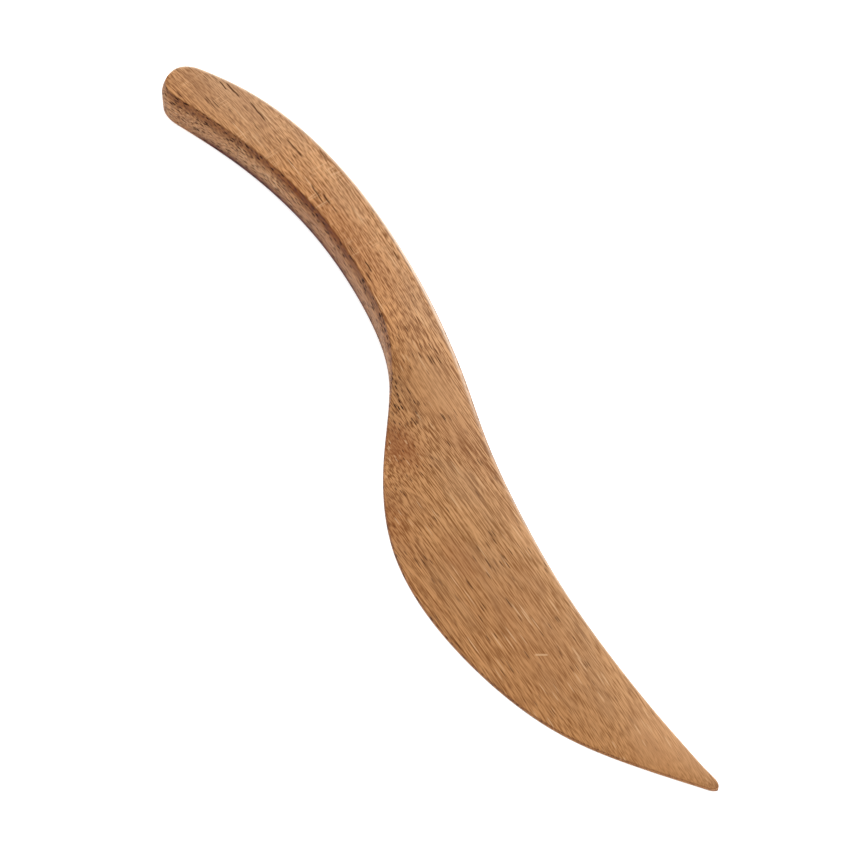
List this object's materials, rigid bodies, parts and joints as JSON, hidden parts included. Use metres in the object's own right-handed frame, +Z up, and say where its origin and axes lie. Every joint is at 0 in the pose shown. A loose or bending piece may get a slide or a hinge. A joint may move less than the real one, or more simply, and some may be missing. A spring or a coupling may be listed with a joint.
{
  "type": "clay modelling tool",
  "caption": "Hand-held wooden clay knife: a curved squarish handle flows through a narrow neck into a broad pointed blade with a thin belly edge.",
  "frame": {"origin": "centre of the bounding box in plan, on the flat back that the tool lies on", "axes": "+X from the butt of the handle to the tip of the blade, +Y towards the spine, +Z up through the thickness"},
  "size_m": [0.2004, 0.0436, 0.0102],
  "materials": {
    "hardwood": "sanded reddish-brown hardwood with a thin oil finish, straight grain along the tool"
  },
  "bodies": {
    "root": {"carved_wood_tool": "hardwood"}
  },
  "joints": []
}
